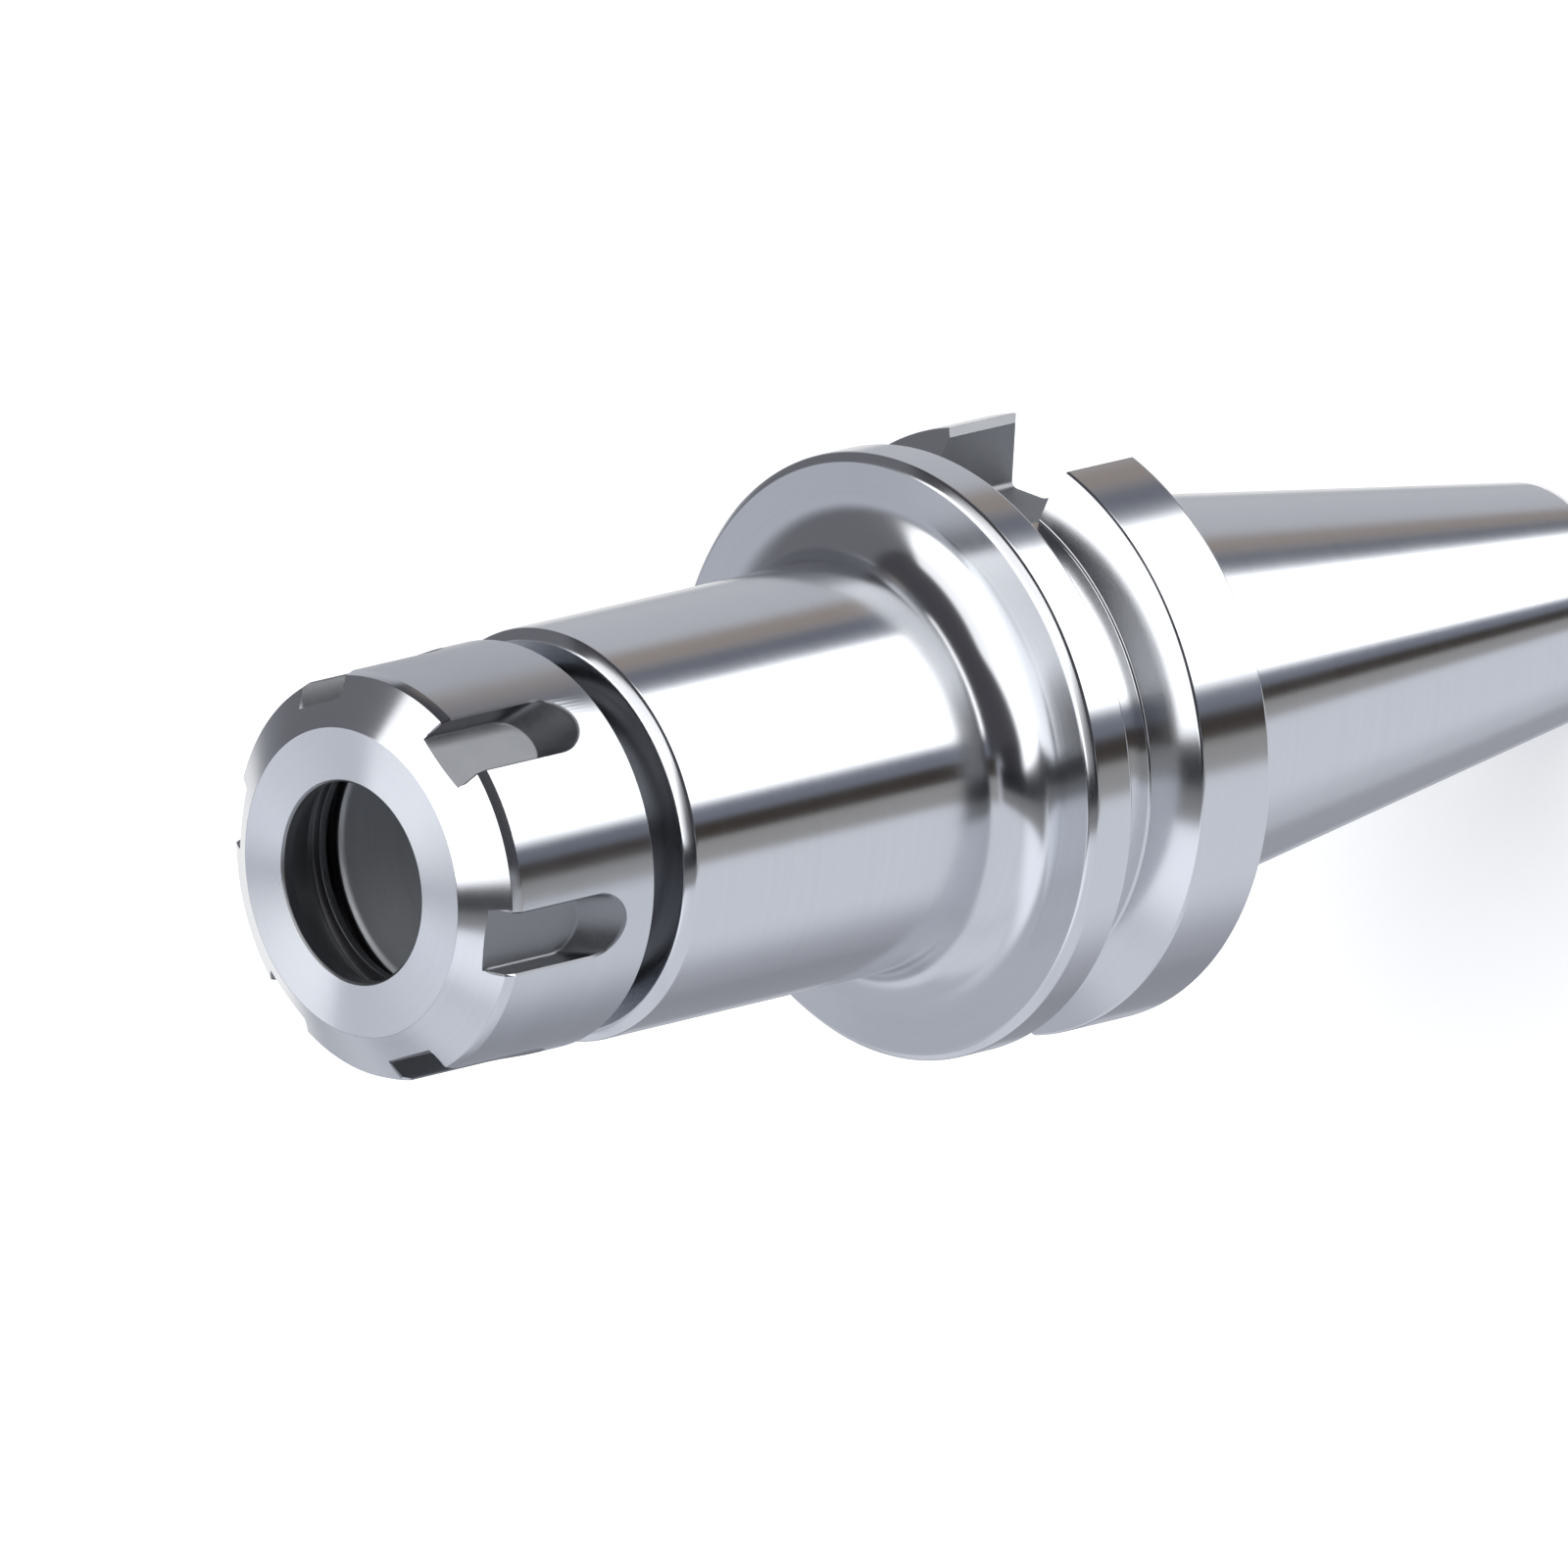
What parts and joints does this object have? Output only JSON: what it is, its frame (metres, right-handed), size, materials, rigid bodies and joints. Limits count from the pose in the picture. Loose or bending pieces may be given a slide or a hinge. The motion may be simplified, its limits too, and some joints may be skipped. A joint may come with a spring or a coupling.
{
  "type": "collet chuck holder",
  "caption": "Machining-centre tool holder with a steep taper shank, grooved driving flange, long parallel body and a slotted collet clamping nut.",
  "frame": {"origin": "centre of the taper's gauge plane, where the 7/24 cone is 44.45 mm across", "axes": "+Z along the spindle axis towards the clamping nut; the two drive slots lie on the X axis"},
  "size_m": [0.063, 0.063, 0.1654],
  "materials": {
    "polished_tool_steel": "hardened, ground and polished",
    "ground_nut_steel": "turned and finely ground"
  },
  "bodies": {
    "holder": {"holder_body": "polished_tool_steel"},
    "nut": {"clamping_nut": "ground_nut_steel"}
  },
  "joints": [
    {"name": "nut_turn", "type": "hinge", "parent": "holder", "child": "nut", "pos_m": [0, 0, 0.0823], "axis": [0, 0, 1], "range_deg": [-630, 2430]}
  ]
}
